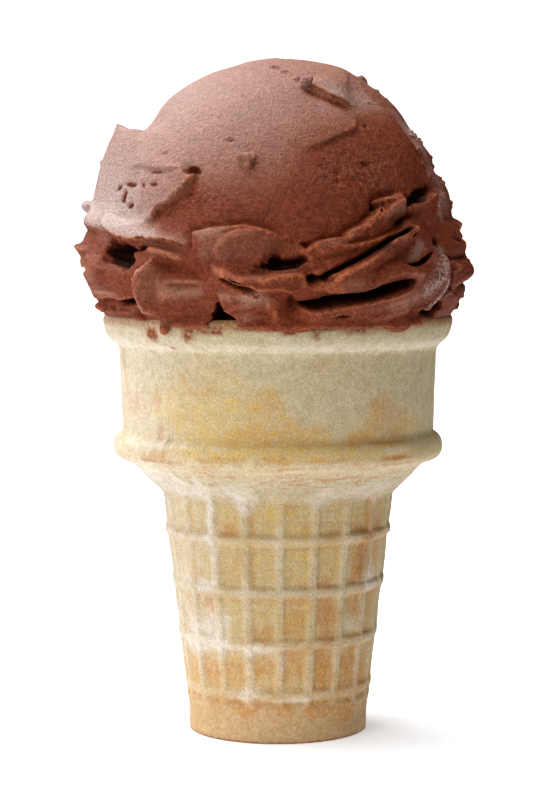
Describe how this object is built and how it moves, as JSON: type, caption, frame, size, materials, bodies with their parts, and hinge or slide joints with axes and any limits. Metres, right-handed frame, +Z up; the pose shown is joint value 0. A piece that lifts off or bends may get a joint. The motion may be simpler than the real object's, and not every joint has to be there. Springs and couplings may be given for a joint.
{
  "type": "ice cream cone",
  "caption": "Flat-bottomed wafer cup with a latticed foot, a collar and a thick rim, filled with chocolate ice cream that rises in a rounded scoop with a torn, folded skirt.",
  "frame": {"origin": "middle of the flat underside of the cup's foot", "axes": "+Z up through the cup and the scoop; -Y is the shown side, with the tongues and folds of ice cream; +X to the right of it"},
  "size_m": [0.0733, 0.0738, 0.122],
  "materials": {
    "baked_wafer": "dry, finely porous baked wafer, pale cream with toasted tan patches",
    "chocolate_ice_cream": "milk-chocolate brown, softly glossy where it has begun to melt, frosty where it is torn"
  },
  "bodies": {
    "root": {"wafer_cup": "baked_wafer", "ice_cream_scoop": "chocolate_ice_cream"}
  },
  "joints": []
}
